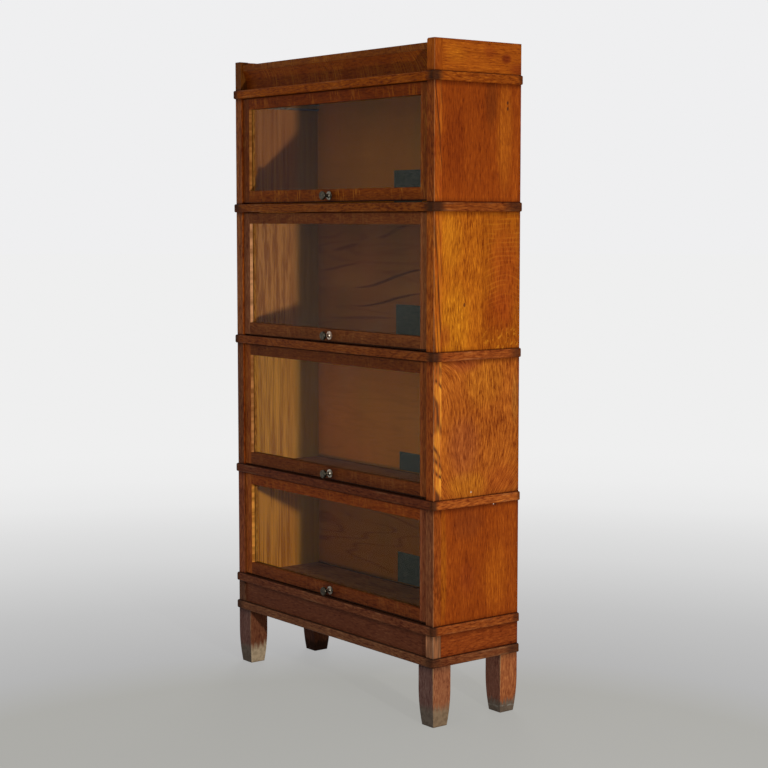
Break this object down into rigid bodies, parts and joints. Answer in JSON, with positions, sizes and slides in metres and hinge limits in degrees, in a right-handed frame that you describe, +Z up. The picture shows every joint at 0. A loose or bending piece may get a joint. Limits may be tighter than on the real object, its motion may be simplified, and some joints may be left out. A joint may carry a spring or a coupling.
{
  "type": "barrister bookcase",
  "caption": "Tall barrister bookcase in oak: stacked sections with glazed doors that lift and push back under the section above, on a legged base, with a hollow-moulded crown.",
  "frame": {"origin": "middle of the overall box at floor level", "axes": "+Z up, the doors face -Y, +X to the right seen from the front"},
  "size_m": [0.876, 0.298, 1.6765],
  "materials": {
    "case_oak": "satin shellac, orange-brown quarter-sawn oak",
    "band_oak": "satin, worn on the corners",
    "door_oak": "satin shellac, darker red-brown oak",
    "inner_oak": "thin old finish",
    "leg_oak": "satin, grey and worn at the feet",
    "window_glass": "clear sheet",
    "knob_brass": "worn, dark in the hollows",
    "carriage_steel": "dull",
    "label_paper": "matt paper"
  },
  "bodies": {
    "case": {"base_board": "inner_oak", "base_front_and_rear_rails": "case_oak", "base_lower_band": "band_oak", "base_posts": "case_oak", "base_side_rails": "case_oak", "crown_band": "band_oak", "crown_bottom_board": "inner_oak", "crown_deck": "inner_oak", "crown_front": "case_oak", "crown_rear_rail": "inner_oak", "crown_sides": "case_oak", "leg_back_left": "leg_oak", "leg_back_right": "leg_oak", "leg_front_left": "leg_oak", "leg_front_right": "leg_oak", "section_1_back": "inner_oak", "section_1_band": "band_oak", "section_1_floor": "inner_oak", "section_1_posts": "case_oak", "section_1_runners": "inner_oak", "section_1_sides": "case_oak", "section_2_back": "inner_oak", "section_2_band": "band_oak", "section_2_floor": "inner_oak", "section_2_posts": "case_oak", "section_2_runners": "inner_oak", "section_2_sides": "case_oak", "section_3_back": "inner_oak", "section_3_band": "band_oak", "section_3_floor": "inner_oak", "section_3_posts": "case_oak", "section_3_runners": "inner_oak", "section_3_sides": "case_oak", "section_4_back": "inner_oak", "section_4_band": "band_oak", "section_4_floor": "inner_oak", "section_4_posts": "case_oak", "section_4_runners": "inner_oak", "section_4_sides": "case_oak", "shelf_labels": "label_paper"},
    "carriage_1": {"door_1_carriage": "carriage_steel"},
    "door_1": {"door_1_frame": "door_oak", "door_1_glass": "window_glass", "door_1_glazing_beads": "door_oak", "door_1_knob": "knob_brass"},
    "carriage_2": {"door_2_carriage": "carriage_steel"},
    "door_2": {"door_2_frame": "door_oak", "door_2_glass": "window_glass", "door_2_glazing_beads": "door_oak", "door_2_knob": "knob_brass"},
    "carriage_3": {"door_3_carriage": "carriage_steel"},
    "door_3": {"door_3_frame": "door_oak", "door_3_glass": "window_glass", "door_3_glazing_beads": "door_oak", "door_3_knob": "knob_brass"},
    "carriage_4": {"door_4_carriage": "carriage_steel"},
    "door_4": {"door_4_frame": "door_oak", "door_4_glass": "window_glass", "door_4_glazing_beads": "door_oak", "door_4_knob": "knob_brass"}
  },
  "joints": [
    {"name": "door_1_push_back", "type": "slide", "parent": "case", "child": "carriage_1", "axis": [0, 1, 0], "range_m": [0, 0.21]},
    {"name": "door_1_lift", "type": "hinge", "parent": "carriage_1", "child": "door_1", "pos_m": [0, -0.113, 1.563], "axis": [-1, 0, 0], "range_deg": [0, 90]},
    {"name": "door_2_push_back", "type": "slide", "parent": "case", "child": "carriage_2", "axis": [0, 1, 0], "range_m": [0, 0.21]},
    {"name": "door_2_lift", "type": "hinge", "parent": "carriage_2", "child": "door_2", "pos_m": [0, -0.113, 1.252], "axis": [-1, 0, 0], "range_deg": [0, 90]},
    {"name": "door_3_push_back", "type": "slide", "parent": "case", "child": "carriage_3", "axis": [0, 1, 0], "range_m": [0, 0.21]},
    {"name": "door_3_lift", "type": "hinge", "parent": "carriage_3", "child": "door_3", "pos_m": [0, -0.113, 0.89], "axis": [-1, 0, 0], "range_deg": [0, 90]},
    {"name": "door_4_push_back", "type": "slide", "parent": "case", "child": "carriage_4", "axis": [0, 1, 0], "range_m": [0, 0.21]},
    {"name": "door_4_lift", "type": "hinge", "parent": "carriage_4", "child": "door_4", "pos_m": [0, -0.113, 0.528], "axis": [-1, 0, 0], "range_deg": [0, 90]}
  ],
  "couplings": [
    {"joint": "door_1_push_back", "follows": "door_1_lift", "m_per_rad": 0.1336},
    {"joint": "door_2_push_back", "follows": "door_2_lift", "m_per_rad": 0.1336},
    {"joint": "door_3_push_back", "follows": "door_3_lift", "m_per_rad": 0.1336},
    {"joint": "door_4_push_back", "follows": "door_4_lift", "m_per_rad": 0.1336}
  ]
}
